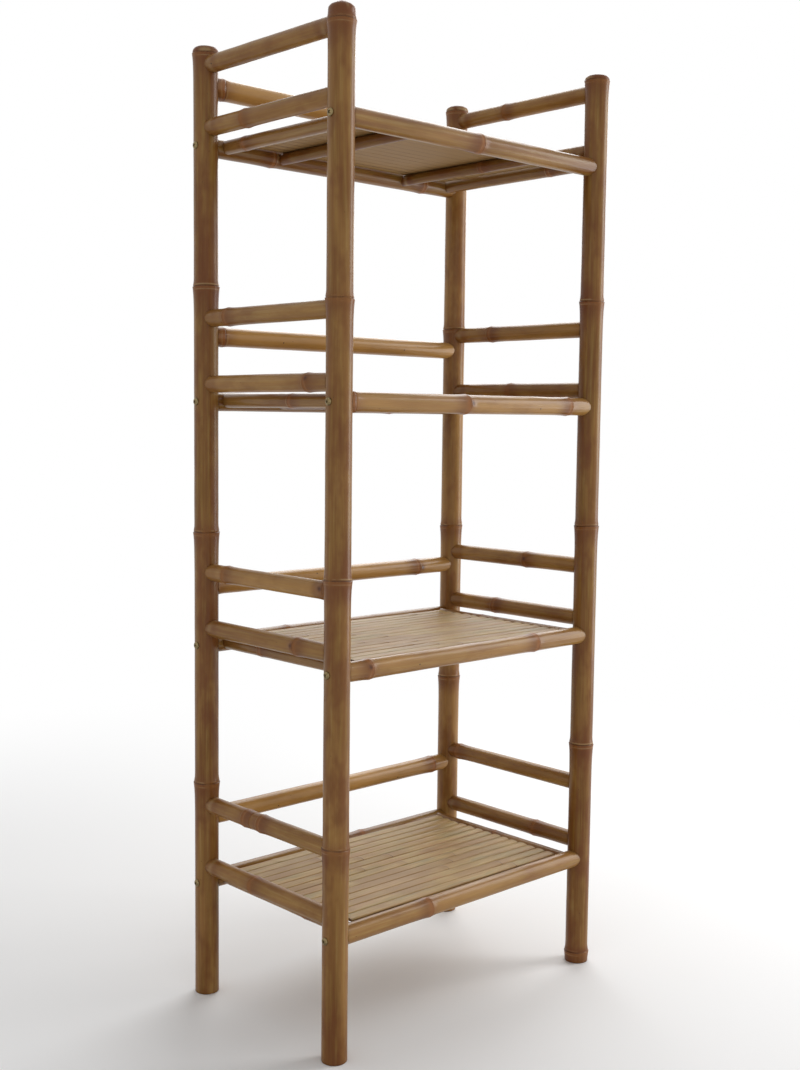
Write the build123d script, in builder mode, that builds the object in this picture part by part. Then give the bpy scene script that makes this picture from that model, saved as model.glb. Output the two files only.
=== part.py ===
"""Bamboo shelving unit: two ladder sides, four back rails and four slatted shelves.

X runs along the width, Y from front to back and Z up. The origin lies on the floor, midway between
the four posts. All sizes are in millimetres.
"""
from build123d import *
import os

# Spread and girth of the posts
post_spacing_x = 514.0
post_spacing_y = 300.0
post_diameter = 35.6
post_head = 27.4
head_taper = 4.5

# Nodes of the posts: a ring that swells from below to a sharp lip
node_rise = 1.6
node_swell = 5.0
node_lip = 3.0
post_nodes = {
    "front_left": (297.0, 659.0, 1026.0),
    "rear_left": (325.0, 702.0, 1060.0),
    "front_right": (17.0, 358.0, 707.0, 1056.0),
    "rear_right": (423.0, 688.0, 1025.0),
}
head_node_drops = {"front_left": 18.0, "rear_left": 12.0, "front_right": 10.0, "rear_right": 11.0}

# Heights of the shelves, and of the rungs and back rails over each of them
bottom_shelf_height = 172.0
shelf_pitches = (362.0, 359.5, 365.5)
lower_rung_rise = 25.5
upper_rung_rises = (120.4, 109.0, 120.4, 113.6)
back_rail_drops = (21.5, 22.2, 25.3, 29.2)

# Girth of the other culms
rung_diameter = 25.0
back_rail_diameters = (27.0, 26.0, 27.5, 30.0)
shelf_rail_diameter = 27.0
end_rail_diameter = 20.0
bearer_width = 17.0
bearer_sides = 8

# The shelf frame inside the posts
end_rail_rise = 1.5
end_rail_gap = 0.6
bearer_offset = 125.0

# Split bamboo slats, skin side up
slat_count = 14
slat_thickness = 4.5
slat_bevel = 2.0
slat_top_rise = 12.0
slat_gap = 0.5
slat_end_gap = 3.0

# Screws through the posts into the shelf rails
screw_head_diameter = 10.8
screw_head_height = 3.0
screw_head_sides = 8
screw_shank_width = 4.0
screw_length = 66.0

# Play between pieces that meet
glue_gap = 0.1
seat_gap = 0.1
screw_clearance = 0.15

# Places that follow from the sizes above
post_radius = post_diameter / 2
shelf_rail_radius = shelf_rail_diameter / 2
half_x = post_spacing_x / 2
half_y = post_spacing_y / 2
shelf_levels = [bottom_shelf_height + sum(shelf_pitches[:tier]) for tier in range(len(shelf_pitches) + 1)]
upper_rung_levels = [level + rise for level, rise in zip(shelf_levels, upper_rung_rises)]
back_rail_levels = [level - drop for level, drop in zip(upper_rung_levels, back_rail_drops)]
post_height = upper_rung_levels[-1] + post_head
end_rail_x = half_x - post_radius - node_rise - end_rail_gap - end_rail_diameter / 2
slat_length = 2 * (end_rail_x - end_rail_diameter / 2 - slat_end_gap)
slat_pitch = (post_spacing_y - shelf_rail_diameter - 2 * slat_gap) / slat_count
slat_width = slat_pitch - slat_gap
screw_seat_x = half_x + post_radius + seat_gap
screw_hole_width = screw_shank_width + 2 * screw_clearance
corners = {
    "front_left": (-half_x, -half_y),
    "rear_left": (-half_x, half_y),
    "front_right": (half_x, -half_y),
    "rear_right": (half_x, half_y),
}


def save(piece, name):
    """Label a finished piece and write it."""
    piece.label = name
    export_step(piece, f"parts/{name}.step")


def upright(corner, gap=0.0):
    """One post as a turned culm with its nodes and worn head; a gap swells it for the coping cuts."""
    x, y = corners[corner]
    radius = post_radius + gap
    lip = radius + node_rise
    outline = [(0, 0), (radius, 0)]
    for height in post_nodes[corner]:
        outline += [(radius, height - node_swell), (lip, height), (radius, height + node_lip)]
    head_node = post_height - head_node_drops[corner]
    outline += [(radius, head_node - node_swell), (lip, head_node)]
    outline += [(radius - head_taper, post_height), (0, post_height)]
    with BuildPart() as post:
        with BuildSketch(Plane((x, y, 0), x_dir=(1, 0, 0), z_dir=(0, -1, 0))):
            with BuildLine():
                Polyline(*outline, close=True)
            make_face()
        revolve(axis=Axis((x, y, 0), (0, 0, 1)))
    return post.part


def drilled_post(corner):
    """A post with a screw hole straight through it at each shelf."""
    x, y = corners[corner]
    with BuildPart() as post:
        add(upright(corner))
        with BuildSketch(Plane((x, y, 0), x_dir=(0, 1, 0), z_dir=(1, 0, 0))):
            with Locations(*[(0, level) for level in shelf_levels]):
                Rectangle(screw_hole_width, screw_hole_width)
        extrude(amount=post_diameter, both=True, mode=Mode.SUBTRACT)
    return post.part


def coped_culm(start, end, level, diameter):
    """A level culm from post to post, its two ends hollowed to the round of the posts."""
    start_x, start_y = corners[start]
    end_x, end_y = corners[end]
    run = Vector(end_x - start_x, end_y - start_y, 0)
    with BuildPart() as culm:
        with BuildSketch(Plane((start_x, start_y, level), x_dir=(0, 0, 1), z_dir=run.normalized())):
            Circle(diameter / 2)
        extrude(amount=run.length)
        for corner in (start, end):
            add(cope_shapes[corner], mode=Mode.SUBTRACT)
    return culm.part


def shelf_rail(start, end, level):
    """A front or rear shelf rail: a coped culm with a blind hole for the screw in each end."""
    pilot_depth = screw_length - post_radius - seat_gap + screw_clearance
    with BuildPart() as rail:
        add(coped_culm(start, end, level, shelf_rail_diameter))
        for corner in (start, end):
            x, y = corners[corner]
            inward = -1 if x > 0 else 1
            with BuildSketch(Plane((x, y, level), x_dir=(0, 1, 0), z_dir=(inward, 0, 0))):
                Rectangle(screw_hole_width, screw_hole_width)
            extrude(amount=pilot_depth, mode=Mode.SUBTRACT)
    return rail.part


def cross_piece(section, x, level, shelf_level):
    """A piece of the given section from the front shelf rail to the rear one, its ends hollowed to them."""
    with BuildPart() as piece:
        with BuildSketch(Plane((x, -half_y, level), x_dir=(1, 0, 0), z_dir=(0, 1, 0))):
            add(section)
        extrude(amount=post_spacing_y)
        with BuildSketch(Plane((x, 0, shelf_level), x_dir=(0, 1, 0), z_dir=(1, 0, 0))):
            with GridLocations(post_spacing_y, 0, 2, 1):
                Circle(shelf_rail_radius + glue_gap)
        extrude(amount=shelf_rail_diameter, both=True, mode=Mode.SUBTRACT)
    return piece.part


def slats(shelf_level):
    """The slats of one shelf, laid side by side, each bevelled along the skin side that faces up."""
    underside = shelf_level + slat_top_rise - slat_thickness
    with BuildSketch() as section:
        with BuildLine():
            right = slat_width / 2
            crown = right - slat_bevel
            Polyline((-right, 0), (right, 0), (crown, slat_thickness), (-crown, slat_thickness), close=True)
        make_face()
    with BuildPart() as mat:
        with BuildSketch(Plane((0, 0, underside), x_dir=(0, 1, 0), z_dir=(1, 0, 0))):
            with GridLocations(slat_pitch, 0, slat_count, 1):
                add(section.sketch)
        extrude(amount=slat_length / 2, both=True)
    return mat.part


def screws(shelf_level):
    """The four screws of one shelf, with plain heads and square shanks that have no thread."""
    with BuildPart() as group:
        for side in (-1, 1):
            for y in (-half_y, half_y):
                seat = Plane((side * screw_seat_x, y, shelf_level), x_dir=(0, 1, 0), z_dir=(side, 0, 0))
                with BuildSketch(seat):
                    RegularPolygon(screw_head_diameter / 2, screw_head_sides)
                extrude(amount=screw_head_height)
                with BuildSketch(seat):
                    Rectangle(screw_shank_width, screw_shank_width)
                extrude(amount=-screw_length)
    return group.part


os.makedirs("parts", exist_ok=True)
with BuildSketch() as end_rail_section:
    Circle(end_rail_diameter / 2)
with BuildSketch() as bearer_section:
    half_step = 180 / bearer_sides
    RegularPolygon(bearer_width / 2, bearer_sides, major_radius=False, rotation=half_step)
cope_shapes = {corner: upright(corner, gap=glue_gap) for corner in corners}

# Posts
for corner in corners:
    save(drilled_post(corner), f"post_{corner}")

# Side rungs, a lower and an upper one over each shelf on each side
for side in ("left", "right"):
    for tier, level in enumerate(shelf_levels, start=1):
        lower = coped_culm(f"front_{side}", f"rear_{side}", level + lower_rung_rise, rung_diameter)
        save(lower, f"rung_{side}_{tier}_lower")
        upper = coped_culm(f"front_{side}", f"rear_{side}", upper_rung_levels[tier - 1], rung_diameter)
        save(upper, f"rung_{side}_{tier}_upper")

# Back rails
for tier, (level, diameter) in enumerate(zip(back_rail_levels, back_rail_diameters), start=1):
    save(coped_culm("rear_left", "rear_right", level, diameter), f"back_rail_{tier}")

# Shelves
for tier, level in enumerate(shelf_levels, start=1):
    save(shelf_rail("front_left", "front_right", level), f"shelf_{tier}_front_rail")
    save(shelf_rail("rear_left", "rear_right", level), f"shelf_{tier}_rear_rail")
    bearer_level = level + slat_top_rise - slat_thickness - seat_gap - bearer_width / 2
    for side, sign in (("left", -1), ("right", 1)):
        end_rail = cross_piece(end_rail_section.sketch, sign * end_rail_x, level + end_rail_rise, level)
        save(end_rail, f"shelf_{tier}_{side}_end_rail")
        bearer = cross_piece(bearer_section.sketch, sign * bearer_offset, bearer_level, level)
        save(bearer, f"shelf_{tier}_{side}_bearer")
    save(slats(level), f"shelf_{tier}_slats")
    save(screws(level), f"shelf_{tier}_screws")
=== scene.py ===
"""The looks of a bamboo shelving unit: its culms, slats, screws and nails.

The file is laid out as an add-on and is run as a script. Lengths are in metres. X runs along the width,
Y from the front to the back and Z up, and the origin lies on the floor, midway between the posts.
"""
import math
import random

import bpy
from bpy.props import FloatProperty, FloatVectorProperty, IntProperty, PointerProperty
from mathutils import Matrix, Vector


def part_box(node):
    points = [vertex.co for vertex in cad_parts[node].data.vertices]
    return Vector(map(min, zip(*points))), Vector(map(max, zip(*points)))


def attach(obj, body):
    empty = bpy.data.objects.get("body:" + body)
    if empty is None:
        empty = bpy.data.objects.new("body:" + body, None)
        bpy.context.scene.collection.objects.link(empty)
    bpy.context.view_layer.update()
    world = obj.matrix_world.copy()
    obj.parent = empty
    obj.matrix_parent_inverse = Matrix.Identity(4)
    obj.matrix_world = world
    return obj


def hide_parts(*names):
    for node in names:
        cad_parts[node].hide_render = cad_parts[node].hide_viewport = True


bl_info = {
    "name": "Bamboo Shelving Unit",
    "version": (1, 0, 0),
    "blender": (4, 5, 0),
    "location": "3D View > Sidebar > Bamboo Shelf",
    "description": "Builds the culms, slats, screws and nails of a bamboo shelving unit",
    "category": "Object",
}

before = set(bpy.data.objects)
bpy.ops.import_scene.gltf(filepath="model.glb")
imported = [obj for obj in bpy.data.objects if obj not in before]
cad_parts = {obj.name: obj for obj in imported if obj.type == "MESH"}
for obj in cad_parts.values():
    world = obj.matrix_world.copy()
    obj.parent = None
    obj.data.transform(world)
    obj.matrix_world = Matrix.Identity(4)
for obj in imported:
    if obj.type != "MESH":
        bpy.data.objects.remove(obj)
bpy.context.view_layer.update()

MM = 0.001
X, Y, Z = Vector((1, 0, 0)), Vector((0, 1, 0)), Vector((0, 0, 1))
BODY = "root"
TIERS = (1, 2, 3, 4)
SIGNS = {"left": -1, "right": 1}


# Sizes and places

def middle(node):
    """The middle of a node's box."""
    low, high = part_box(node)
    return (low + high) / 2


def extent(node):
    """The lengths of a node's box along X, Y and Z."""
    low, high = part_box(node)
    return high - low


HALF_X = middle("rung_right_1_lower").x
HALF_Y = middle("shelf_1_rear_rail").y
POST_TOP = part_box("post_front_left")[1].z
RAIL_RADIUS = extent("shelf_1_front_rail").z / 2

# A post's radius is a rung's and this much more
POST_OVER_RUNG = 5.3 * MM
POST_RADIUS = extent("rung_left_1_lower").x / 2 + POST_OVER_RUNG

# The slats of a shelf share the room between its rails, less this play
SLAT_COUNT = 14
SLAT_PLAY = 1 * MM
SLAT_PITCH = (2 * HALF_Y - 2 * RAIL_RADIUS - SLAT_PLAY) / SLAT_COUNT

SCREW_HEAD_HEIGHT = 3 * MM

# Heights of the nodes of each post, with the one that closes the head last
POST_NODES = {
    "front_left": (0.297, 0.659, 1.026, POST_TOP - 0.025),
    "rear_left": (0.325, 0.702, 1.060, POST_TOP - 0.012),
    "front_right": (0.017, 0.358, 0.707, 1.056, POST_TOP - 0.010),
    "rear_right": (0.423, 0.688, 1.025, POST_TOP - 0.011),
}

# How far the crown of each post's head stands over its rounded rim, in millimetres, the size of that rim and
# of the foot's, and the least radius at the very top
HEAD_CROWNS = {"front_left": 5.0, "rear_left": 1.8, "front_right": 2.2, "rear_right": 1.8}
HEAD_ROUND = 6 * MM
FOOT_ROUND = 1 * MM
CROWN_TIP = 0.25 * MM

# How much a hollowed end narrows at its rim, and how far from the rim it starts to
RIM_EASE = 0.045
RIM_LENGTH = 1.0 * MM

# How far the rungs and rails sway from a straight line
SWAY = 0.5 * MM

# Nodes of the rungs, as distances from the front post
RUNG_NODES = {
    "left_1_lower": (0.179,), "left_1_upper": (0.160, 0.196),
    "left_2_lower": (0.080,), "left_2_upper": (0.021, 0.245),
    "left_3_lower": (0.061,), "left_3_upper": (0.242,),
    "left_4_lower": (0.202,), "right_1_lower": (0.092,),
    "right_1_upper": (0.269,), "right_2_lower": (0.190,),
    "right_2_upper": (0.122,), "right_3_lower": (0.165,),
    "right_3_upper": (0.210,), "right_4_upper": (0.185,),
}

# Nodes of the rails, as distances from the left post
BACK_RAIL_NODES = {1: (0.470,), 2: (0.017, 0.428), 3: (0.028,), 4: (0.028,)}
FRONT_RAIL_NODES = {1: (0.172,), 2: (0.053, 0.392), 3: (0.022, 0.233, 0.457), 4: (0.253,)}
REAR_RAIL_NODES = {1: (0.310,), 2: (0.150,), 3: (0.365,), 4: (0.118, 0.430)}

# The node of an end rail or bearer, as a distance from the front rail, drawn from a range if not given
CROSS_NODES = {"shelf_4_left_end_rail": 0.242}
CROSS_NODE_RANGE = (0.06, 0.24)

# Branch scars: the distance of each from the post, and its place round the culm in degrees
SCARS = {
    "rung_left_3_lower": (0.055, 205.0), "rung_left_2_upper": (0.026, 195.0),
    "rung_left_2_lower": (0.084, 190.0), "rung_right_2_upper": (0.118, 190.0),
    "back_rail_2": (0.434, 180.0), "shelf_2_front_rail": (0.048, 160.0),
    "shelf_3_front_rail": (0.238, 172.0),
}

# Nail heads on the rails: the rail, the place along X in millimetres, the face (-1 front, 1 back), and the
# height over the rail's middle in millimetres
RAIL_NAILS = [
    ("shelf_3_front_rail", 127.5, -1, -4.5), ("shelf_2_front_rail", -117.0, -1, -2.0),
    ("back_rail_3", -124.0, -1, -4.0), ("back_rail_3", 128.0, -1, -4.0),
    ("back_rail_1", -130.0, -1, -5.0), ("back_rail_1", 125.0, -1, -5.0),
    ("back_rail_2", -54.0, -1, 6.0), ("back_rail_2", 180.0, -1, -5.0),
]
RAIL_NAILS += [(f"shelf_{tier}_rear_rail", x, 1, 1.0) for tier in TIERS for x in (-125.0, 125.0)]

# The nail head on a rung: the rung, the place along Y and the way it faces
RUNG_NAIL = ("rung_left_4_upper", 0.120, Vector((-1, 0, -0.35)))

# How golden the skin is, from 0 for brown to 1 for straw, by a part of the piece's name, and its spread
TONES = {
    "post_rear_right": 0.50, "post": 0.12, "rung_left_2_upper": 0.70, "rung": 0.42, "back_rail_4": 1.3,
    "back_rail": 0.90, "shelf_4_front_rail": 0.18, "front_rail": 0.42, "rear_rail": 0.08,
    "end_rail": 0.25, "bearer": 0.0,
}
TONE_SPREAD = 0.12

# The seed of a culm's streaks lies between 0 and this, and each shelf's slats move on by so many seeds
STREAK_SEEDS = 40.0
SEEDS_PER_SHELF = 10

# The finish of each kind of culm: its name, redness, strength of the rings at its nodes, and clear coat
CULM_FINISHES = {
    "bamboo_post": ("post_skin", 1.0, 0.45, 0.30),
    "bamboo_rung": ("rung_skin", 0.5, 0.2, 0.22),
    "bamboo_rail": ("rail_skin", 0.0, 0.35, 0.42),
    "bamboo_bearer": ("bearer_skin", 0.8, 0.2, 0.20),
}

# Stations along a culm in millimetres: from each node, from each end, and on both sides of the point midway
# between two nodes, where the nearest node changes
NODE_STATIONS = (
    -26, -18, -12, -8, -5.5, -3.8, -2.6, -1.8, -1.2, -0.7, -0.35, -0.12,
    0.12, 0.4, 0.7, 1.0, 1.4, 1.9, 2.6, 3.5, 4.8, 6.5, 9, 13, 19, 27,
)
END_STATIONS = (0, 0.25, 0.6, 1.1, 2, 3.5, 6, 9, 13, 18, 24)
MIDWAY_STATIONS = (-0.02, 0.02)
LEAST_STEP = 0.03 * MM

# The gap that stands for no node or scar at all
FAR = 1.0

# The camera's axes, and the share of the picture's height by which its view is raised
CAMERA_RIGHT = Vector((0.73087494, -0.68241289, 0.0115959))
CAMERA_UP = Vector((0.05315737, 0.07385438, 0.99585131))
CAMERA_FILM = 36.0
VIEW_RAISE = 3 / 1070

# Each light's place, the point that it faces, and its width and height
KEY_LIGHT = ((2.1, 1.4, 2.4), (0, 0, 0.8), (2.4, 2.4))
SIDE_LIGHT = ((2.0, -1.15, 1.2), (0, 0, 0.7), (1.0, 2.4))

# How far the floor reaches from the object, and where it fades to white
FLOOR_REACH = 12.0
FLOOR_FADE = (0.9, 2.2)


# Trees of nodes

def step(operation, swapped=False):
    """A method that adds a Math node with that operation on a wire and the values given with it."""
    def method(wire, *others):
        values = (*others, wire) if swapped else (wire, *others)
        return wire.tree.math(operation, *values)
    return method


class Wire:
    """A socket of a node tree that adds Math nodes when it is used in an expression."""

    __add__, __radd__ = step("ADD"), step("ADD", swapped=True)
    __sub__, __rsub__ = step("SUBTRACT"), step("SUBTRACT", swapped=True)
    __mul__, __rmul__ = step("MULTIPLY"), step("MULTIPLY", swapped=True)
    __truediv__, __pow__ = step("DIVIDE"), step("POWER")
    __lt__, __gt__ = step("LESS_THAN"), step("GREATER_THAN")
    low, high = step("MINIMUM"), step("MAXIMUM")
    size, root, exp = step("ABSOLUTE"), step("SQRT"), step("EXPONENT")

    def __init__(self, tree, socket):
        self.tree = tree
        self.socket = socket

    def __neg__(self):
        return self * -1.0

    def bell(self, width):
        """1 where this is 0, falling smoothly to nothing over a few widths on both sides."""
        scaled = self / width
        return (-(scaled * scaled)).exp()

    def ramp(self, start, end):
        """0 at start and 1 at end, smooth between them."""
        inputs = {"Value": self, "From Min": start, "From Max": end}
        return self.tree.add("ShaderNodeMapRange", {"interpolation_type": "SMOOTHSTEP"}, inputs)


class Tree:
    """A node tree that is filled by calls, for a material, a world or Geometry Nodes."""

    def __init__(self, group):
        self.group = group
        group.nodes.clear()

    def add(self, kind, settings=None, inputs=None, output=None):
        """A node of that type. Its settings come first, then its inputs, and its output comes back."""
        node = self.group.nodes.new(kind)
        for name, value in (settings or {}).items():
            setattr(node, name, value)
        for key, value in (inputs or {}).items():
            found = node.inputs[key] if isinstance(key, int) else self.open_socket(node.inputs, key)
            for item in value if isinstance(value, list) else [value]:
                if isinstance(item, Wire):
                    self.group.links.new(item.socket, found)
                else:
                    found.default_value = item
        if isinstance(output, tuple):
            return tuple(Wire(self, self.open_socket(node.outputs, name)) for name in output)
        if output:
            return Wire(self, self.open_socket(node.outputs, output))
        return Wire(self, next((socket for socket in node.outputs if socket.enabled), None))

    @staticmethod
    def open_socket(sockets, name):
        """The socket of that name that the node's settings leave in use."""
        return next(socket for socket in sockets if socket.enabled and socket.name == name)

    def math(self, operation, *values):
        """A Math node with that operation on these values."""
        return self.add("ShaderNodeMath", {"operation": operation}, dict(enumerate(values)))

    def vector(self, operation, *values, output="Vector"):
        """A Vector Math node with that operation."""
        return self.add("ShaderNodeVectorMath", {"operation": operation}, dict(enumerate(values)), output)

    def split(self, vector):
        """The X, Y and Z of a vector."""
        return self.add("ShaderNodeSeparateXYZ", None, {"Vector": vector}, ("X", "Y", "Z"))

    def join(self, x, y, z):
        """A vector of three numbers."""
        return self.add("ShaderNodeCombineXYZ", None, {"X": x, "Y": y, "Z": z})

    def noise(self, vector, scale, detail=2.0, roughness=0.5):
        """Smooth noise from about 0 to 1 at that many waves to the metre."""
        sizes = {"Vector": vector, "Scale": scale, "Detail": detail, "Roughness": roughness}
        return self.add("ShaderNodeTexNoise", {"noise_dimensions": "3D"}, sizes, "Fac")

    def waver(self, x, y, z, detail=1.0):
        """Smooth noise from about -0.5 to 0.5 over three numbers."""
        return self.noise(self.join(x, y, z), 1.0, detail) - 0.5

    def mix(self, share, first, second, blend="MIX"):
        """A colour that goes from the first to the second as the share goes from 0 to 1."""
        settings = {"data_type": "RGBA", "blend_type": blend}
        return self.add("ShaderNodeMix", settings, {"Factor": share, "A": first, "B": second}, "Result")


class Shape(Tree):
    """A Geometry Nodes tree with named inputs."""

    KINDS = {float: "NodeSocketFloat", int: "NodeSocketInt"}

    def __init__(self, name, sizes):
        group = bpy.data.node_groups.new(name, "GeometryNodeTree")
        super().__init__(group)
        face = group.interface
        face.new_socket("Geometry", in_out="INPUT", socket_type="NodeSocketGeometry")
        face.new_socket("Geometry", in_out="OUTPUT", socket_type="NodeSocketGeometry")
        for label, size in sizes.items():
            item = face.new_socket(label, in_out="INPUT", socket_type=self.KINDS[type(size)])
            item.default_value = size
        face.new_socket("Material", in_out="INPUT", socket_type="NodeSocketMaterial")
        self.source = group.nodes.new("NodeGroupInput")

    def __getitem__(self, label):
        """One of the tree's own inputs."""
        return Wire(self, self.source.outputs[label])

    def place(self):
        """The X, Y and Z of each point."""
        return self.split(self.add("GeometryNodeInputPosition"))

    def read(self, name, kind="FLOAT"):
        """A number or a vector stored on the points."""
        return self.add("GeometryNodeInputNamedAttribute", {"data_type": kind}, {"Name": name}, "Attribute")

    def store(self, geometry, name, value, kind="FLOAT"):
        """Stores a number or a vector on the points."""
        inputs = {"Geometry": geometry, "Name": name, "Value": value}
        return self.add("GeometryNodeStoreNamedAttribute", {"data_type": kind, "domain": "POINT"}, inputs)

    def keep(self, geometry, grain, **numbers):
        """Stores the place along the grain and some numbers on the points, for the materials."""
        for name, value in numbers.items():
            geometry = self.store(geometry, name, value)
        return self.store(geometry, "grain", grain, "FLOAT_VECTOR")

    def move(self, geometry, position):
        """Puts each point at its position."""
        return self.add("GeometryNodeSetPosition", None, {"Geometry": geometry, "Position": position})

    def shift(self, geometry, distance):
        """Moves the whole geometry up by a distance."""
        inputs = {"Geometry": geometry, "Translation": self.join(0.0, 0.0, distance)}
        return self.add("GeometryNodeTransform", None, inputs)

    def chance(self, low, high, key, seed):
        """A random number that is the same for all points with the same key."""
        inputs = {"Min": low, "Max": high, "ID": key, "Seed": seed}
        return self.add("FunctionNodeRandomValue", {"data_type": "FLOAT"}, inputs)

    def line(self, start, end, count):
        """A straight path with that many points."""
        path = self.add("GeometryNodeCurvePrimitiveLine", None, {"Start": start, "End": end})
        return self.add("GeometryNodeResampleCurve", None, {"Curve": path, "Count": count})

    def tube(self, path, sides, radius):
        """A closed tube along a path."""
        ring = self.add("GeometryNodeCurvePrimitiveCircle", None, {"Resolution": sides, "Radius": radius})
        inputs = {"Curve": path, "Profile Curve": ring, "Fill Caps": True}
        return self.add("GeometryNodeCurveToMesh", None, inputs)

    def finish(self, geometry, smooth=True):
        """Ends the tree: real meshes, smooth shading and the material."""
        solid = self.add("GeometryNodeRealizeInstances", None, {"Geometry": geometry})
        if smooth:
            solid = self.add("GeometryNodeSetShadeSmooth", None, {"Geometry": solid, "Shade Smooth": True})
        inputs = {"Geometry": solid, "Material": self["Material"]}
        solid = self.add("GeometryNodeSetMaterial", None, inputs)
        self.add("NodeGroupOutput", None, {"Geometry": solid})
        return self.group


def node_bulge(gap, swell, fall):
    """The shape of a node over its gap: it swells up to a lip at 0, drops a little and dies away."""
    under = gap < 0.0
    rising = (gap.low(0.0) / swell).exp()
    falling = 0.62 * gap.high(0.0).bell(fall)
    groove = 0.30 * (gap - 0.9 * MM).bell(0.6 * MM)
    return under * rising + (1.0 - under) * falling - groove


def culm_shape(name):
    """A line along Z becomes a culm: round, swollen at its nodes, and hollowed where it meets a pole."""
    shape = Shape(name, {
        "Radius": 12.5 * MM, "Sides": 40, "Rise": 1.0 * MM, "Swell": 11.0 * MM, "Fall": 7.0 * MM,
        "Tilt": 1.0 * MM, "Lump": 0.25 * MM, "Wander": 0.0, "Start": 0.0, "End": 1.0,
        "Cope": 0.0, "Cope Shift": 0.0, "Scar Angle": 0.0, "Scar Size": 4.5 * MM, "Tone": 0.5, "Seed": 0.0,
    })
    path = shape.add("GeometryNodeMeshToCurve", None, {"Mesh": shape["Geometry"]})
    radius = shape["Radius"]
    geometry = shape.tube(path, shape["Sides"], radius)
    x, y, z = shape.place()
    across, up = x / radius, y / radius
    seed = shape["Seed"] * 3.17

    # The nodes, each a little askew
    slant = shape.waver(across * 0.6 + seed, up * 0.6, z * 6.0)
    gap = shape.read("node_gap") + slant * 2.0 * shape["Tilt"]
    bulge = node_bulge(gap, shape["Swell"], shape["Fall"])
    lumps = shape.waver(across * 0.9, up * 0.9 + seed, z * 22.0, 2.0)

    # The branch scar: a low mound with a pit in it
    away = shape.math("ARCTAN2", y, x) - shape["Scar Angle"] * math.radians(1.0)
    aside = 2.0 * radius * shape.math("SINE", away * 0.5)
    scar_gap = shape.read("scar_gap")
    from_scar = (scar_gap * scar_gap + aside * aside).root()
    scar_size = shape["Scar Size"]
    scar = from_scar.bell(scar_size)
    pit = from_scar.bell(scar_size * 0.55)
    thick = radius + bulge * shape["Rise"] + lumps * 2.0 * shape["Lump"]
    thick = (thick + scar * 1.2 * MM - pit * 1.0 * MM) * shape.read("girth")

    # The hollows at the ends, which follow the pole that each end meets
    start, end = shape["Start"], shape["End"]
    cope = shape["Cope"]
    side = across * thick + shape["Cope Shift"]
    hollow = (cope * cope - side * side).high(0.0).root() - cope
    reach = 12.0 * MM
    lengthwise = z + hollow * (z - start).bell(reach) - hollow * (end - z).bell(reach)

    # The sway between the ends
    part = ((z - start) / (end - start)).high(0.0).low(1.0)
    sway = shape["Wander"] * 4.0 * part * (1.0 - part)
    drift_x, drift_y = (sway * 2.0 * shape.waver(z * 5.0 + seed, row, 0.0) for row in (0.0, 9.0))

    geometry = shape.keep(
        geometry, shape.join(x + seed, y, z), node_gap=gap, scar=scar, scar_pit=pit, tone=shape["Tone"],
        end_gap=(z - start).low(end - z))
    place = shape.join(across * thick + drift_x, up * thick + drift_y, lengthwise)
    return shape.finish(shape.move(geometry, place))


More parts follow.
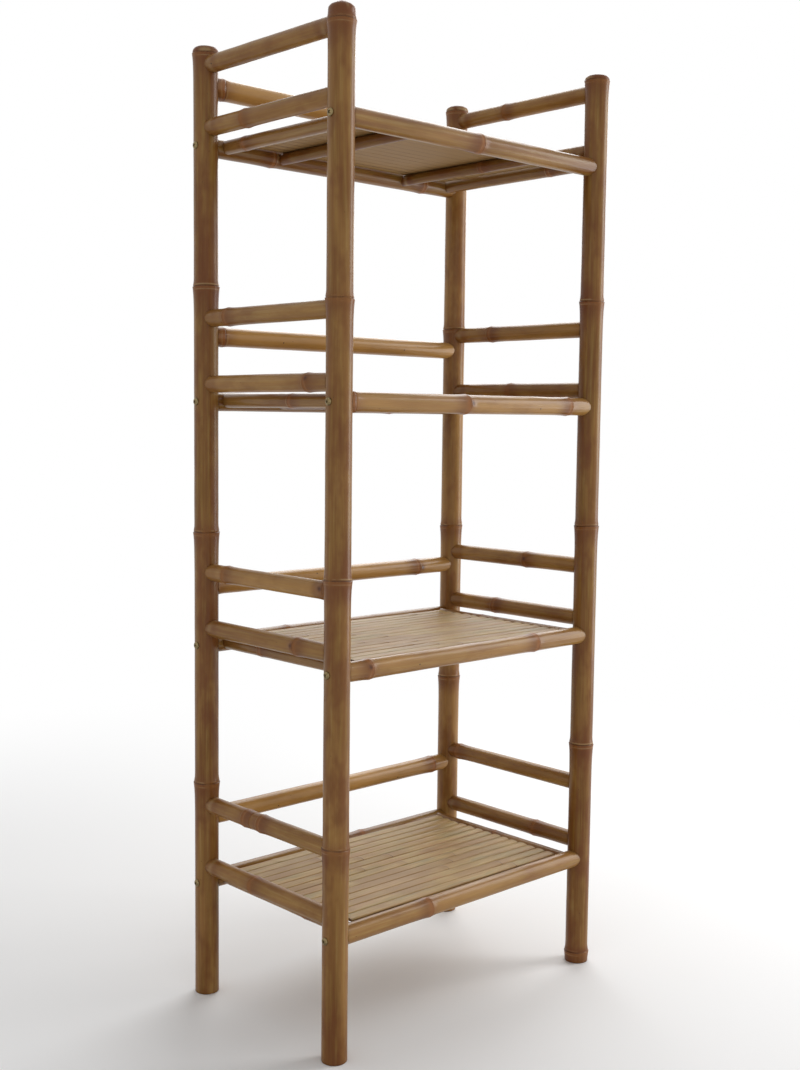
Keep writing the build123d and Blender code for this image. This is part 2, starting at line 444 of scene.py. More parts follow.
def slat_shape(name):
    """A mat of split slats side by side along Y, each a crowned strip along X with its own nodes."""
    shape = Shape(name, {
        "Count": SLAT_COUNT, "Pitch": SLAT_PITCH, "Length": 0.428, "Width": 19.25 * MM,
        "Thickness": 4.5 * MM, "Crown": 1.9 * MM, "End Wander": 1.6 * MM, "Node Spacing": 0.36,
        "Rise": 0.9 * MM, "Lump": 0.35 * MM, "Stations": 110, "Sides": 24, "Seed": 1,
    })
    pitch, length, count = shape["Pitch"], shape["Length"], shape["Count"]
    start, end = shape.join(-0.5 * length, 0.0, 0.0), shape.join(0.5 * length, 0.0, 0.0)
    strip = shape.tube(shape.line(start, end, shape["Stations"]), shape["Sides"], 1.0)
    x, y, z = shape.place()
    strip = shape.store(strip, "across", y)
    strip = shape.store(strip, "skin", z > 0.02)
    first = shape.join(0.0, -0.5 * pitch * (count - 1.0), 0.0)
    inputs = {"Count": count, "Start Location": first, "Offset": shape.join(0.0, pitch, 0.0)}
    row = shape.add("GeometryNodeMeshLine", None, inputs)
    row = shape.store(row, "slat", shape.add("GeometryNodeInputIndex"))
    mat = shape.add("GeometryNodeInstanceOnPoints", None, {"Points": row, "Instance": strip})
    mat = shape.add("GeometryNodeRealizeInstances", None, {"Geometry": mat})

    # Each slat's own place, tilt and tone
    across, skin, slat, seed = shape.read("across"), shape.read("skin"), shape.read("slat"), shape["Seed"]
    row_y = pitch * (slat - 0.5 * (count - 1.0))
    ranges = ((-1.0, 1.0), (-1.0, 1.0), (-0.30 * MM, 0.0), (-0.018, 0.018), (0.0, 0.45), (0.0, 1.0))
    left, right, lift, roll, shift, tone = (
        shape.chance(*ends, slat, seed + float(turn)) for turn, ends in enumerate(ranges))
    share = x / length
    lengthwise = x + shape["End Wander"] * ((share + 0.5) * right + (0.5 - share) * left)

    # Its nodes, which step on from slat to slat
    spacing = shape["Node Spacing"]
    drift = lengthwise + (shift + 0.055 * slat + 0.13 * seed) * spacing + 10.0 * spacing
    beyond = shape.math("MODULO", drift, spacing) - 0.5 * spacing
    skew = shape.waver(lengthwise * 9.0, across * 0.9, slat * 2.3)
    gap = beyond + skew * 3.0 * MM + across * across * 1.4 * MM
    bulge = node_bulge(gap, 7.0 * MM, 4.5 * MM)
    lumps = shape.waver(lengthwise * 14.0, across * 0.8, slat * 1.7, 2.0)

    # Its section, flat on the left and rounder to the right
    thickness, half, rise = shape["Thickness"], 0.5 * shape["Width"], shape["Rise"]
    crown = shape["Crown"] * (0.14 + 0.86 * share.ramp(0.0, 0.44))
    rim = (1.0 - across.size() ** 60.0).high(0.0)
    uneven = bulge * rise + lumps * 2.0 * shape["Lump"] + lift - rise * 0.5
    top = (thickness - crown) * rim + crown * (1.0 - across * across) + rim * uneven
    height = skin * top + roll * across * half
    narrow = 1.0 - 0.015 * shape.noise(shape.join(lengthwise * 8.0, slat * 3.1, 4.0), 1.0, 1.0)

    grain = shape.join(lengthwise + slat * 0.61, across * half, slat * 0.37)
    mat = shape.keep(
        mat, grain, node_gap=gap, node_near=gap.size() < 0.25 * spacing, tone=tone,
        end_gap=0.5 * length - x.size())
    return shape.finish(shape.move(mat, shape.join(lengthwise, row_y + across * half * narrow, height)))


def on_points(shape, instance, spin):
    """The instance on each given point, turned so that its Z faces as the point says, after a spin."""
    facing = {"Vector": shape.read("facing", "FLOAT_VECTOR")}
    turn = shape.add("FunctionNodeAlignRotationToVector", {"axis": "Z"}, facing)
    twist = shape.add("FunctionNodeAxisAngleToRotation", None, {"Angle": spin})
    both = {"Rotation": turn, "Rotate By": twist}
    turn = shape.add("FunctionNodeRotateRotation", {"rotation_space": "LOCAL"}, both)
    inputs = {"Points": shape["Geometry"], "Instance": instance, "Rotation": turn}
    return shape.add("GeometryNodeInstanceOnPoints", None, inputs)


def dome(shape, radius, height, sides, stations, flatness):
    """A closed dome on the XY plane. A higher flatness gives it a flatter crown."""
    body = shape.tube(shape.line((0.0, 0.0, 0.0), shape.join(0.0, 0.0, height), stations), sides, radius)
    x, y, z = shape.place()
    narrow = (1.0 - (z / height) ** flatness).high(0.012).root()
    return shape.move(body, shape.join(x * narrow, y * narrow, z))


def screw_shape(name):
    """Points become pan-head screws: a domed head with a cross recess, and a shank behind it."""
    shape = Shape(name, {
        "Head Radius": 5.4 * MM, "Head Height": SCREW_HEAD_HEIGHT, "Recess Width": 1.5 * MM,
        "Recess Length": 6.2 * MM, "Recess Depth": 1.7 * MM, "Shank Radius": 2.0 * MM,
        "Shank Length": 66 * MM, "Seed": 3,
    })
    height, length, width = shape["Head Height"], shape["Recess Length"], shape["Recess Width"]
    head = dome(shape, shape["Head Radius"], height, 36, 14, 2.6)
    depth = 2.0 * shape["Recess Depth"]
    bars = []
    for size in (shape.join(length, width, depth), shape.join(width, length, depth)):
        bar = shape.add("GeometryNodeMeshCube", None, {"Size": size})
        x, y, z = shape.place()
        taper = 0.72 + 0.28 * (z / depth + 0.5)
        bars.append(shape.shift(shape.move(bar, shape.join(x * taper, y * taper, z)), height))
    cut = {"Mesh 1": head, "Mesh 2": bars}
    head = shape.add("GeometryNodeMeshBoolean", {"operation": "DIFFERENCE", "solver": "EXACT"}, cut, "Mesh")
    shank_length = shape["Shank Length"]
    sizes = {"Vertices": 16, "Radius": shape["Shank Radius"], "Depth": shank_length}
    shank = shape.shift(shape.add("GeometryNodeMeshCylinder", None, sizes, "Mesh"), -0.5 * shank_length)
    screw = shape.add("GeometryNodeJoinGeometry", None, {"Geometry": [head, shank]})
    spin = shape.chance(0.0, math.pi, shape.add("GeometryNodeInputIndex"), shape["Seed"])
    return shape.finish(on_points(shape, screw, spin), smooth=False)


def nail_shape(name):
    """Points become small flush nail heads."""
    shape = Shape(name, {"Radius": 1.1 * MM, "Height": 0.35 * MM})
    head = dome(shape, shape["Radius"], shape["Height"], 14, 5, 2.0)
    return shape.finish(on_points(shape, head, 0.0))


# Materials

def rgba(colour):
    """A colour with full alpha."""
    return (*colour, 1.0)


class Finish(Tree):
    """A material's tree, whose colour is laid on in layers."""

    def __init__(self, name, ground=(1, 1, 1)):
        self.material = bpy.data.materials.new(name)
        self.material.use_nodes = True
        super().__init__(self.material.node_tree)
        self.colour = rgba(ground)

    def stored(self, name, output="Fac"):
        """A number or a vector stored on the piece."""
        return self.add("ShaderNodeAttribute", {"attribute_name": name}, None, output)

    def streaks(self, grain, shares, waves, detail=2.0, roughness=0.5):
        """Noise that is drawn out along each axis whose share is small."""
        return self.noise(self.vector("MULTIPLY", grain, shares), waves, detail, roughness)

    def cells(self, grain, shares, scale, output):
        """Scattered points: the distance to the nearest one, or its random colour."""
        inputs = {"Vector": self.vector("MULTIPLY", grain, shares), "Scale": scale}
        return self.add("ShaderNodeTexVoronoi", {"feature": "F1"}, inputs, output)

    def lay(self, share, colour):
        """Lays a colour over the rest, as strongly as the share says."""
        self.colour = self.mix(share, self.colour, rgba(colour))

    def shade(self, fibre):
        """Darkens and lightens the colour a little along the fibres."""
        level = 0.90 + 0.20 * fibre
        self.colour = self.mix(1.0, self.colour, self.join(level, level, level), "MULTIPLY")

    def surface(self, constants, roughness, height, strength, distance):
        """A Principled shader with constants on its own sockets, and varying colour, roughness and bump."""
        sizes = {"Strength": strength, "Distance": distance, "Height": height}
        bump = self.add("ShaderNodeBump", None, sizes)
        inputs = {**constants, "Base Color": self.colour, "Roughness": roughness, "Normal": bump}
        shader = self.add("ShaderNodeBsdfPrincipled", None, inputs)
        self.add("ShaderNodeOutputMaterial", None, {"Surface": shader})
        return self.material


def culm_finish(name, look, redness, ringed, coat):
    """Lacquered bamboo skin: long streaks, reddish patches, and dark lips and pale rings at its nodes."""
    finish = Finish(name, look.brown)
    grain = finish.stored("grain", "Vector")
    names = ("node_gap", "tone", "scar", "scar_pit", "end_gap")
    gap, tone, scar, pit, end_gap = (finish.stored(name) for name in names)
    fibre = finish.streaks(grain, (1.0, 1.0, 0.035), 1500.0, 3.0, 0.6)
    streak = finish.streaks(grain, (1.0, 1.0, 0.035), 210.0, 3.0, 0.6)
    band = finish.streaks(grain, (1.0, 1.0, 0.16), 46.0)
    patch = finish.streaks(grain, (1.0, 1.0, 0.45), 30.0, 3.0, 0.6)

    # Brown and olive streaks, gold in bands, light streaks and red patches
    finish.lay(streak.ramp(0.36, 0.64), look.olive)
    finish.lay((tone + 0.9 * (band - 0.5)).high(0.0).low(1.0), look.honey)
    finish.lay(streak.ramp(0.56, 0.74) * (0.10 + 0.20 * tone), look.pale)
    red_share = (0.35 + 0.45 * redness) * (1.0 - 0.6 * tone)
    finish.lay(patch.ramp(0.47 - 0.09 * redness, 0.70) * red_share, look.red)

    # At a node: a red wash, an orange collar, pale rings on both sides and the dark lip
    finish.lay(((gap + 8 * MM).bell(19 * MM) * (0.40 + 0.5 * patch)).low(1.0), look.red)
    collar = (gap + 1.5 * MM).bell(5 * MM) * (0.55 + 0.5 * patch)
    finish.lay(collar * (1.0 - 0.65 * redness), look.collar)
    ring = (gap - 2.6 * MM).bell(1.1 * MM) + 0.7 * (gap + 4.4 * MM).bell(0.8 * MM)
    finish.lay(ring * ringed * patch.ramp(0.42, 0.62), look.pale)
    lip = (gap - 0.4 * MM).bell(0.8 * MM) * patch.ramp(0.34, 0.54)
    finish.lay(lip * (0.42 + 0.6 * ringed), look.dark)

    # Over the last node, the cap of a post: red, and worn pale at its rim
    over = gap.ramp(0.0, 2 * MM)
    cap = (1.0 - end_gap.ramp(16 * MM, 30 * MM)) * over * redness
    finish.lay(cap * 0.85, look.red)
    worn = (end_gap - 9 * MM).bell(4 * MM) * over * patch.ramp(0.48, 0.6) * redness
    finish.lay(worn * 0.5, look.pale)

    # Branch scars, painted shade at the ends where a culm meets another culm or the floor, and specks
    finish.lay(scar * 0.8, look.red)
    finish.lay(pit * 0.92, look.dark)
    # Painted shade: the last millimetres of each culm end are darkened, for the shade where it meets a post,
    # a rail or the floor
    joint_shade = (-end_gap / (1.6 * MM)).exp()
    finish.lay(joint_shade.low(1.0) * 0.55, look.dark)
    speck = finish.cells(grain, (1.0, 1.0, 0.5), 90.0, "Distance")
    finish.lay((1.0 - speck.ramp(0.03, 0.06)) * 0.6, look.dark)

    finish.shade(fibre)
    roughness = 0.34 + 0.16 * fibre + 0.18 * gap.bell(7 * MM)
    height = fibre * 0.5 + streak * 0.8 + patch * 1.2
    constants = {"Specular IOR Level": 0.12, "Coat Weight": coat, "Coat Roughness": 0.18}
    return finish.surface(constants, roughness, height, 0.25, 0.12 * MM)


def slat_finish(name, look):
    """Split bamboo: tan skin above with pinkish and grey-green streaks, and browner fibres below."""
    finish = Finish(name, look.tan)
    grain = finish.stored("grain", "Vector")
    names = ("node_gap", "tone", "skin", "node_near", "across", "end_gap")
    gap, tone, skin, near, across, end_gap = (finish.stored(name) for name in names)
    fibre = finish.streaks(grain, (0.03, 1.0, 1.0), 1400.0, 3.0, 0.6)
    streak = finish.streaks(grain, (0.03, 1.0, 1.0), 260.0, 3.0, 0.6)
    patch = finish.streaks(grain, (0.25, 1.0, 1.0), 42.0, 3.0, 0.55)
    broad = finish.streaks(grain, (0.5, 0.6, 0.9), 16.0)

    # Straw streaks, cool and pinkish patches, and brown clouds over several slats
    finish.lay(streak.ramp(0.38, 0.66), look.straw)
    finish.lay(patch.ramp(0.47, 0.66) * (0.30 + 0.65 * tone), look.grey)
    finish.lay((1.0 - patch.ramp(0.34, 0.52)) * (0.85 - 0.5 * tone), look.pink)
    finish.lay(broad.ramp(0.45, 0.64) * 0.85, look.brown)

    # At a node: a brown wash and a dark line
    finish.lay((gap + 4 * MM).bell(9 * MM) * 0.6 * broad.ramp(0.3, 0.5) * near, look.brown)
    finish.lay((gap - 0.4 * MM).bell(0.8 * MM) * broad.ramp(0.34, 0.52) * 0.85 * near, look.knot)

    # A few knots, each a dark eye in a brown patch with a pale halo, and fine cracks
    eye, pick = finish.cells(grain, (0.42, 1.0, 1.0), 15.0, ("Distance", "Color"))
    rare = finish.split(pick)[0] > 0.70
    finish.lay((eye - 0.085).bell(0.022) * rare * 0.45, look.straw)
    finish.lay(eye.bell(0.07) * rare * 0.7, look.brown)
    finish.lay((1.0 - eye.ramp(0.02, 0.05)) * rare * 0.9, look.knot)
    crack = finish.streaks(grain, (0.02, 1.0, 1.0), 420.0, 1.0)
    finish.lay(crack.ramp(0.70, 0.78) * 0.55, look.knot)

    # The underside with its dark seams, and painted shade at the slat ends, where they meet the end rails
    finish.lay(1.0 - skin, look.inside)
    seam = across.size().ramp(0.86, 1.0) * (1.0 - skin) * streak.ramp(0.38, 0.55)
    finish.lay(seam * 0.85, look.knot)
    # Painted shade: the last millimetres of each slat are darkened where it meets an end rail
    cut = (-end_gap / (1.5 * MM)).exp().low(1.0)
    finish.lay(cut * 0.5, look.knot)

    finish.shade(fibre)
    roughness = 0.40 + 0.14 * fibre + 0.14 * (1.0 - skin)
    constants = {"Specular IOR Level": 0.2, "Coat Weight": 0.05, "Coat Roughness": 0.3}
    return finish.surface(constants, roughness, fibre * 0.6 + streak * 1.0, 0.35, 0.25 * MM)


def metal_finish(name, colour, dull, metallic, roughness):
    """Dulled metal with faint cloudy wear."""
    finish = Finish(name, colour)
    cloud = finish.noise(finish.add("ShaderNodeTexCoord", None, None, "Object"), 420.0, 3.0, 0.6)
    finish.lay(cloud.ramp(0.42, 0.68) * 0.7, dull)
    return finish.surface({"Metallic": metallic}, roughness + 0.18 * cloud, cloud, 0.1, 0.1 * MM)


# Making a piece

def once(kept, name, maker, *details):
    """The tree or material of that name, made when it is first asked for."""
    return kept.get(name) or maker(name, *details)


def grow(name, tree, inputs, slot, node=None, place=Matrix.Identity(4), points=(), edges=(), **values):
    """Runs a tree on a few points, keeps the result as a plain mesh, and seats it on the body.

    The points may have edges between them, and values: one number or vector of each kind for each point.
    """
    base = bpy.data.meshes.new("base")
    base.from_pydata(points, edges, [])
    for label, numbers in values.items():
        kind, field = ("FLOAT_VECTOR", "vector") if label == "facing" else ("FLOAT", "value")
        base.attributes.new(label, kind, "POINT").data.foreach_set(field, numbers)
    collection = bpy.context.scene.collection
    source = bpy.data.objects.new("source", base)
    collection.objects.link(source)
    modifier = source.modifiers.new("Shape", "NODES")
    modifier.node_group = tree
    for item in tree.interface.items_tree:
        if item.in_out == "INPUT" and item.name in inputs:
            modifier[item.identifier] = inputs[item.name]
    graph = bpy.context.evaluated_depsgraph_get()
    made = bpy.data.meshes.new_from_object(
        source.evaluated_get(graph), preserve_all_data_layers=True, depsgraph=graph)
    source.modifiers.remove(modifier)
    bpy.data.objects.remove(source)
    if not made.polygons:
        raise RuntimeError(f"{name} came out empty")
    made.name = name
    made.transform(place)
    piece = bpy.data.objects.new(name, made)
    collection.objects.link(piece)
    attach(piece, BODY)
    if node:
        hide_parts(node)


def lying(origin, run, side):
    """A place whose Z runs along a culm and whose X is the side on which it is hollowed."""
    return Matrix.Translation(origin) @ Matrix((side, run.cross(side), run)).transposed().to_4x4()


def stations(start, end, nodes, step):
    """Places along a culm, close together at its nodes and its ends."""
    count = math.ceil((end - start) / step)
    places = [start + (end - start) * i / count for i in range(count + 1)]
    places += [node + gap * MM for node in nodes for gap in NODE_STATIONS]
    places += [start + gap * MM for gap in END_STATIONS] + [end - gap * MM for gap in END_STATIONS]
    midway = [(one + other) / 2 for one, other in zip(sorted(nodes), sorted(nodes)[1:])]
    places += [place + gap * MM for place in midway for gap in MIDWAY_STATIONS]
    kept = []
    for place in sorted(place for place in places if start <= place <= end):
        if not kept or place - kept[-1] > LEAST_STEP:
            kept.append(place)
    kept[-1] = end
    return kept


def culm(scene, name, place, reach, radius, nodes, girth, inputs, step=6 * MM, scar_at=None):
    """One culm along its place's Z, standing for the frame's node of that name.

    Its reach is where it starts and ends, and its girth is the share of the radius that is left at a place.
    """
    start, end = reach
    places = stations(start, end, nodes, step)
    slot = "bamboo_" + next(kind for kind in ("post", "rung", "bearer", "rail") if kind in name)
    finish, *look = CULM_FINISHES[slot]
    material = once(bpy.data.materials, finish, culm_finish, scene.bamboo_skin, *look)
    tone, seed = tone_of(name, scene.bamboo_skin.seed)
    sizes = {
        "Radius": radius, "Start": start, "End": end, "Lump": scene.bamboo_skin.lump,
        "Material": material, "Tone": tone, "Seed": seed, **inputs,
    }
    grow(f"{name}_culm", once(bpy.data.node_groups, "culm", culm_shape), sizes, slot, name, place,
         points=[(0, 0, z) for z in places], edges=[(i, i + 1) for i in range(len(places) - 1)],
         node_gap=[min((z - node for node in nodes), key=abs, default=FAR) for z in places],
         scar_gap=[FAR if scar_at is None else z - scar_at for z in places],
         girth=[girth(z) for z in places])


def tone_of(name, seed):
    """How golden a culm is, and the seed of its streaks."""
    draw = random.Random(f"{name}{seed}")
    usual = next(tone for part, tone in TONES.items() if part in name)
    return usual + draw.uniform(-TONE_SPREAD, TONE_SPREAD), draw.uniform(0.0, STREAK_SEEDS)


def post_girth(crown):
    """The girth of a post: a rounded head with a slight crown, and an eased rim at the foot."""
    def girth(z):
        depth = POST_TOP - z
        if depth < crown:
            return max((POST_RADIUS - HEAD_ROUND) * math.sqrt(depth / crown), CROWN_TIP) / POST_RADIUS
        if depth < crown + HEAD_ROUND:
            lean = 1.0 - (depth - crown) / HEAD_ROUND
            return 1.0 - HEAD_ROUND / POST_RADIUS * (1.0 - math.sqrt(1.0 - lean * lean))
        return 1.0 - FOOT_ROUND / POST_RADIUS * max(0.0, 1.0 - z / FOOT_ROUND) ** 2
    return girth


def hollowed_culm(scene, name, x, y, run, side, nodes, meets, **extra):
    """A culm from X and Y along its run, hollowed at both ends to the radius of what it meets."""
    skin = scene.bamboo_skin
    place = lying(Vector((x, y, middle(name).z)), run, side)
    start, end = meets - skin.sink, 2 * (HALF_X if run == X else HALF_Y) - meets + skin.sink
    scar_at, scar_angle = SCARS.get(name, (None, 0.0))

    def girth(z):
        gap = min(z - start, end - z)
        return 1.0 - RIM_EASE * max(0.0, 1.0 - gap / RIM_LENGTH) ** 2

    inputs = {"Rise": skin.rung_rise, "Wander": SWAY, "Cope": meets, "Scar Angle": scar_angle, **extra}
    culm(scene, name, place, (start, end), extent(name).z / 2, nodes, girth, inputs, scar_at=scar_at)


# Settings

def size_setting(name, description, default, limit, unit="LENGTH"):
    """A length or a power that a user can set."""
    return FloatProperty(
        name=name, description=description, default=default, min=0.0, max=limit, unit=unit)


def colour_setting(name, description, default):
    """A colour that a user can set."""
    return FloatVectorProperty(
        name=name, description=description, default=default, subtype="COLOR", min=0.0, max=1.0)


class BambooSkin(bpy.types.PropertyGroup):
    """Sizes and colours of the round culms"""

    post_rise: size_setting("Post node", "How far a node stands out of a post", 2.0 * MM, 4 * MM)
    rung_rise: size_setting("Rung node", "How far a node stands out of a rung or rail", 1.3 * MM, 3 * MM)
    lump: size_setting("Unevenness", "How far the skin of a culm wavers in and out", 0.28 * MM, 1 * MM)
    sink: size_setting("Joint depth", "How far a hollowed end sinks into its culm", 0.35 * MM, 1 * MM)
    seed: IntProperty(name="Seed", description="Picks the streaks of the culms", default=11, min=0)
    brown: colour_setting("Brown", "The skin of the darker culms", (0.168, 0.062, 0.009))
    olive: colour_setting("Olive", "The duller streaks of the skin", (0.225, 0.114, 0.021))
    honey: colour_setting("Honey", "The skin of the paler culms", (0.49, 0.268, 0.080))
    red: colour_setting("Red brown", "Patches and the skin round a node", (0.150, 0.042, 0.008))
    collar: colour_setting("Collar", "The orange brown band of a node", (0.300, 0.112, 0.030))
    pale: colour_setting("Pale", "Light streaks and the thin rings beside a node", (0.50, 0.36, 0.17))
    # The dark colour also paints the shade at the ends of the culms
    dark: colour_setting("Dark", "The lip of a node, pits, specks and joints", (0.060, 0.022, 0.009))


class BambooSplit(bpy.types.PropertyGroup):
    """Sizes and colours of the split slats"""

    crown: size_setting("Crown", "How far the middle of a slat stands over its edges", 1.9 * MM, 4 * MM)
    end_wander: size_setting("Uneven ends", "How far the ends of the slats differ", 1.6 * MM, 3 * MM)
    seed: IntProperty(name="Seed", description="Picks the nodes and tones of the slats", default=5, min=0)
    tan: colour_setting("Tan", "The skin of a slat", (0.385, 0.243, 0.083))
    straw: colour_setting("Straw", "The pale streaks of a slat", (0.480, 0.330, 0.130))
    pink: colour_setting("Pinkish", "The warm patches of a slat", (0.405, 0.226, 0.100))
    grey: colour_setting("Grey green", "The cool patches of a slat", (0.300, 0.228, 0.095))
    brown: colour_setting("Brown", "The warm cloudy patches of the mat", (0.325, 0.186, 0.068))
    # The knot colour also paints the shade at the slat ends
    knot: colour_setting("Knot", "The dark eyes and node lines", (0.11, 0.055, 0.028))
    inside: colour_setting("Inside", "The fibrous underside", (0.320, 0.188, 0.068))


class BambooMetal(bpy.types.PropertyGroup):
    """Colours of the screws and nails"""

    screw: colour_setting("Screw", "Yellowish plated steel", (0.27, 0.205, 0.100))
    dull: colour_setting("Dull", "Where the plating has dulled", (0.12, 0.085, 0.045))
    nail: colour_setting("Nail", "Dark steel of the nail heads", (0.06, 0.045, 0.035))


class BambooStage(bpy.types.PropertyGroup):
    """The camera, the light and the floor"""

    lens: FloatProperty(
        name="Lens", description="Focal length for a film 36 mm high", default=44.87, min=10.0, max=200.0,
        unit="CAMERA")
    camera: FloatVectorProperty(
        name="Camera", description="Where the camera stands", default=(-1.3909, -1.4811, 0.8743),
        subtype="TRANSLATION", unit="LENGTH")
    key_power: size_setting("Key light", "Power of the large light behind and above", 52.0, 500.0, "POWER")
    side_power: size_setting("Side light", "Power of the tall light on the right", 32.0, 500.0, "POWER")
    world: FloatProperty(
        name="Room light", description="Strength of the even light from all round", default=0.58, min=0.0)
    paper: colour_setting("Floor", "The pale floor", (0.90, 0.90, 0.90))


# Operators

class BAMBOO_OT_posts(bpy.types.Operator):
    """Build the four upright posts"""

    bl_idname = "bamboo.posts"
    bl_label = "Posts"

    def execute(self, context):
        scene = context.scene
        inputs = {"Sides": 56, "Swell": 13 * MM, "Fall": 6 * MM, "Tilt": 1.5 * MM}
        inputs["Rise"] = scene.bamboo_skin.post_rise
        for corner, nodes in POST_NODES.items():
            depth, side = corner.split("_")
            foot = Vector((HALF_X * SIGNS[side], -HALF_Y if depth == "front" else HALF_Y, 0))
            culm(scene, f"post_{corner}", lying(foot, Z, X), (0.0, POST_TOP), POST_RADIUS, nodes,
                 post_girth(HEAD_CROWNS[corner] * MM), inputs, step=9 * MM)
        return {"FINISHED"}


class BAMBOO_OT_rungs(bpy.types.Operator):
    """Build the side rungs, two over each shelf on each side"""

    bl_idname = "bamboo.rungs"
    bl_label = "Rungs"

    def execute(self, context):
        for side, sign in SIGNS.items():
            for tier in TIERS:
                for level in ("lower", "upper"):
                    key = f"{side}_{tier}_{level}"
                    name = f"rung_{key}"
                    hollowed_culm(context.scene, name, sign * HALF_X, -HALF_Y, Y, X,
                                  RUNG_NODES.get(key, ()), POST_RADIUS)
        return {"FINISHED"}


class BAMBOO_OT_rails(bpy.types.Operator):
    """Build the back rails and the front and rear rails of the shelves"""

    bl_idname = "bamboo.rails"
    bl_label = "Rails"

    def execute(self, context):
        for tier in TIERS:
            rails = {
                f"back_rail_{tier}": (HALF_Y, BACK_RAIL_NODES),
                f"shelf_{tier}_front_rail": (-HALF_Y, FRONT_RAIL_NODES),
                f"shelf_{tier}_rear_rail": (HALF_Y, REAR_RAIL_NODES),
            }
            for name, (y, nodes) in rails.items():
                hollowed_culm(context.scene, name, -HALF_X, y, X, Y, nodes[tier], POST_RADIUS)
        return {"FINISHED"}


class BAMBOO_OT_cross_pieces(bpy.types.Operator):
    """Build the end rails and bearers that cross each shelf from rail to rail"""

    bl_idname = "bamboo.cross_pieces"
    bl_label = "End rails and bearers"

    def execute(self, context):
        for tier in TIERS:
            level = middle(f"shelf_{tier}_front_rail").z
            for side in SIGNS:
                for kind in ("end_rail", "bearer"):
                    name = f"shelf_{tier}_{side}_{kind}"
                    drawn = random.Random(name).uniform(*CROSS_NODE_RANGE)
                    sizes = {"Sides": 32, "Rise": 0.8 * MM, "Cope Shift": middle(name).z - level}
                    hollowed_culm(context.scene, name, middle(name).x, -HALF_Y, Y, Z,
                                  (CROSS_NODES.get(name, drawn),), RAIL_RADIUS, **sizes)
        return {"FINISHED"}


class BAMBOO_OT_slats(bpy.types.Operator):
    """Build the mat of split slats on each shelf"""

    bl_idname = "bamboo.slats"
    bl_label = "Slats"

    def execute(self, context):
        split = context.scene.bamboo_split
        tree = once(bpy.data.node_groups, "slats", slat_shape)
        material = once(bpy.data.materials, "slat_skin", slat_finish, split)
        for tier in TIERS:
            name = f"shelf_{tier}_slats"
            length, width, thickness = extent(name)
            inputs = {
                "Length": length, "Thickness": thickness, "Crown": split.crown,
                "End Wander": split.end_wander, "Seed": split.seed + SEEDS_PER_SHELF * tier,
                "Material": material,
            }
            place = Matrix.Translation((0, 0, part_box(name)[0].z))
            grow(f"{name}_mat", tree, inputs, "bamboo_slat", name, place)
        return {"FINISHED"}


class BAMBOO_OT_screws(bpy.types.Operator):
    """Build the screws that hold each shelf to the posts"""

    bl_idname = "bamboo.screws"
    bl_label = "Screws"

    def execute(self, context):
        metal = context.scene.bamboo_metal
        tree = once(bpy.data.node_groups, "screws", screw_shape)
        look = (metal.screw, metal.dull, 1.0, 0.28)
        material = once(bpy.data.materials, "screw_plating", metal_finish, *look)
        for tier in TIERS:
            name = f"shelf_{tier}_screws"
            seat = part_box(name)[1].x - SCREW_HEAD_HEIGHT
            inputs = {"Seed": tier, "Material": material}
            corners = [(sign, y) for sign in SIGNS.values() for y in (-HALF_Y, HALF_Y)]
            grow(f"{name}_set", tree, inputs, "screw_steel", name,
                 points=[(sign * seat, y, middle(name).z) for sign, y in corners],
                 facing=[number for sign, y in corners for number in (sign, 0, 0)])
        return {"FINISHED"}


class BAMBOO_OT_nails(bpy.types.Operator):
    """Build the small nail heads on the rails and on one rung"""

    bl_idname = "bamboo.nails"
    bl_label = "Nails"

    def execute(self, context):
        points, facings = [], []
        for name, x, front, rise in RAIL_NAILS:
            hub, radius = middle(name), extent(name).z / 2
            up = rise * MM / radius
            facing = Vector((0, front * math.sqrt(1 - up * up), up))
            points.append(Vector((x * MM, hub.y, hub.z)) + facing * radius)
            facings.extend(facing)
        name, y, facing = RUNG_NAIL
        hub, facing = middle(name), facing.normalized()
        points.append(Vector((hub.x, y, hub.z)) + facing * extent(name).z / 2)
        facings.extend(facing)
        metal = context.scene.bamboo_metal
        tree = once(bpy.data.node_groups, "nails", nail_shape)
        look = (metal.nail, metal.dull, 0.6, 0.55)
        material = once(bpy.data.materials, "nail_plating", metal_finish, *look)
        grow("nails", tree, {"Material": material}, "screw_steel", points=points, facing=facings)
        return {"FINISHED"}


def soft_light(name, settings, power):
    """A rectangular area light that faces a point."""
    place, target, size = settings
    lamp = bpy.data.lights.new(name, "AREA")
    lamp.shape = "RECTANGLE"
    lamp.size, lamp.size_y = size
    lamp.energy = power
    light = bpy.data.objects.new(name, lamp)
    light.location = place
    light.rotation_euler = (Vector(target) - Vector(place)).to_track_quat("-Z", "Y").to_euler()
    bpy.context.scene.collection.objects.link(light)


def seen_directly(tree):
    """1 for what the camera sees, straight or in a gloss, and 0 for what lights the object."""
    kinds = ("Is Camera Ray", "Is Glossy Ray", "Is Transmission Ray")
    straight, glossy, through = tree.add("ShaderNodeLightPath", None, None, kinds)
    return (straight + glossy + through).low(1.0)


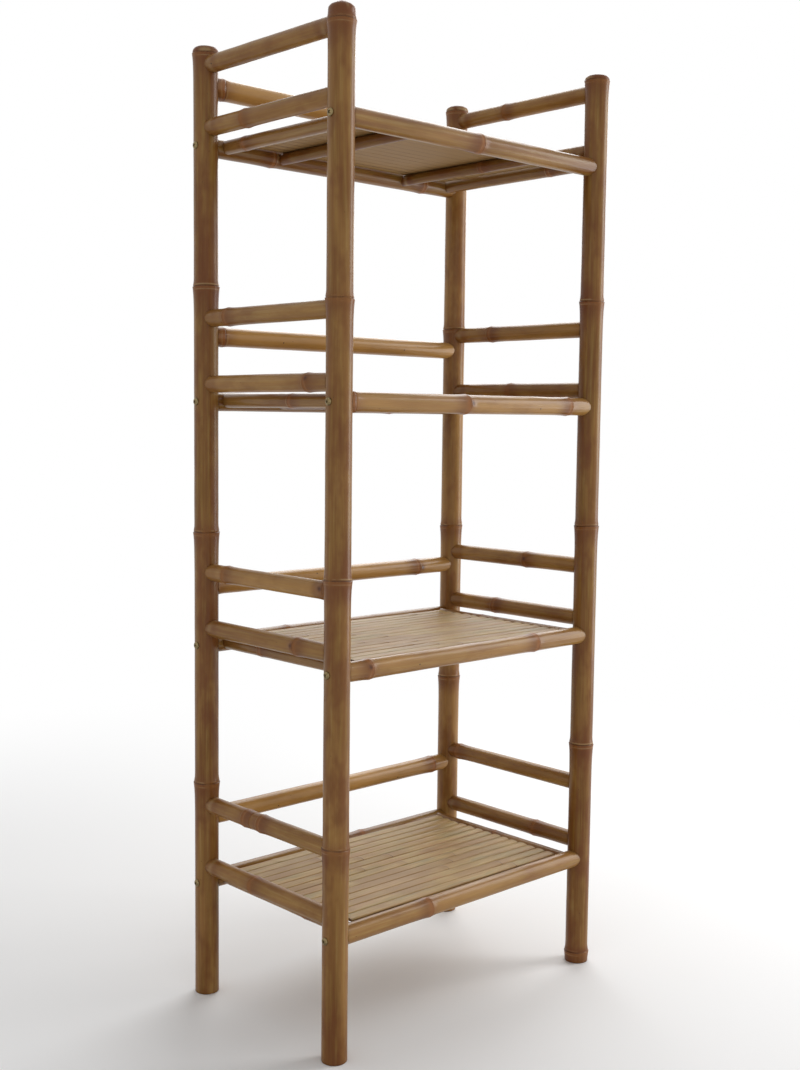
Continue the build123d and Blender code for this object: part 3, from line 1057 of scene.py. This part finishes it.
class BAMBOO_OT_stage(bpy.types.Operator):
    """Set the camera, the lights, the room and the floor"""

    bl_idname = "bamboo.stage"
    bl_label = "Stage"

    def execute(self, context):
        scene = context.scene
        stage = scene.bamboo_stage
        scene.view_settings.view_transform = "Standard"
        self.camera(scene, stage)
        soft_light("key", KEY_LIGHT, stage.key_power)
        soft_light("side", SIDE_LIGHT, stage.side_power)
        self.room(scene, stage)
        self.floor(scene, stage)
        return {"FINISHED"}

    def camera(self, scene, stage):
        """The camera, which looks at the object as the picture of it does."""
        view = bpy.data.cameras.new("view")
        view.lens, view.sensor_width = stage.lens, CAMERA_FILM
        view.shift_y = VIEW_RAISE
        camera = bpy.data.objects.new("view", view)
        turn = Matrix((CAMERA_RIGHT, CAMERA_UP, CAMERA_RIGHT.cross(CAMERA_UP))).transposed().to_4x4()
        camera.matrix_world = Matrix.Translation(stage.camera) @ turn
        scene.collection.objects.link(camera)
        scene.camera = camera

    def room(self, scene, stage):
        """An even light from all round, which looks white itself."""
        world = bpy.data.worlds.new("room")
        world.use_nodes = True
        scene.world = world
        room = Tree(world.node_tree)
        strength = stage.world + (1.0 - stage.world) * seen_directly(room)
        glow = room.add("ShaderNodeBackground", None, {"Color": rgba((1, 1, 1)), "Strength": strength})
        room.add("ShaderNodeOutputWorld", None, {"Surface": glow})

    def floor(self, scene, stage):
        """A pale floor that takes the shadow near the object and fades to white further out."""
        mesh = bpy.data.meshes.new("floor")
        corners = [(x * FLOOR_REACH, y * FLOOR_REACH, 0) for x, y in ((-1, -1), (1, -1), (1, 1), (-1, 1))]
        mesh.from_pydata(corners, [], [(0, 1, 2, 3)])
        finish = Finish("floor_paper")
        place = finish.add("ShaderNodeTexCoord", None, None, "Object")
        fade = finish.vector("LENGTH", place, output="Value").ramp(*FLOOR_FADE) * seen_directly(finish)
        paper = finish.add("ShaderNodeBsdfDiffuse", None, {"Color": rgba(stage.paper)})
        glow = finish.add("ShaderNodeEmission", None, {"Color": rgba((1, 1, 1)), "Strength": 1.0})
        shown = finish.add("ShaderNodeMixShader", None, {0: fade, 1: paper, 2: glow})
        finish.add("ShaderNodeOutputMaterial", None, {"Surface": shown})
        mesh.materials.append(finish.material)
        floor = bpy.data.objects.new("floor", mesh)
        scene.collection.objects.link(floor)


OPERATORS = (
    BAMBOO_OT_posts, BAMBOO_OT_rungs, BAMBOO_OT_rails, BAMBOO_OT_cross_pieces, BAMBOO_OT_slats,
    BAMBOO_OT_screws, BAMBOO_OT_nails, BAMBOO_OT_stage,
)
SETTINGS = {
    "bamboo_skin": BambooSkin, "bamboo_split": BambooSplit, "bamboo_metal": BambooMetal,
    "bamboo_stage": BambooStage,
}


class BAMBOO_PT_panel(bpy.types.Panel):
    """The settings of the shelving unit and the buttons that build it"""

    bl_label = "Bamboo Shelf"
    bl_space_type = "VIEW_3D"
    bl_region_type = "UI"
    bl_category = "Bamboo Shelf"

    def draw(self, context):
        for name, group in SETTINGS.items():
            box = self.layout.box()
            for label in group.__annotations__:
                box.prop(getattr(context.scene, name), label)
        for operator in OPERATORS:
            self.layout.operator(operator.bl_idname)


CLASSES = (*SETTINGS.values(), *OPERATORS, BAMBOO_PT_panel)


def register():
    for cls in CLASSES:
        bpy.utils.register_class(cls)
    for name, group in SETTINGS.items():
        setattr(bpy.types.Scene, name, PointerProperty(type=group))


def unregister():
    for name in SETTINGS:
        delattr(bpy.types.Scene, name)
    for cls in reversed(CLASSES):
        bpy.utils.unregister_class(cls)


def main():
    """Registers the add-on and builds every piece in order."""
    register()
    bpy.ops.bamboo.stage()
    bpy.ops.bamboo.posts()
    bpy.ops.bamboo.rungs()
    bpy.ops.bamboo.rails()
    bpy.ops.bamboo.cross_pieces()
    bpy.ops.bamboo.slats()
    bpy.ops.bamboo.screws()
    bpy.ops.bamboo.nails()


if __name__ == "__main__":
    main()
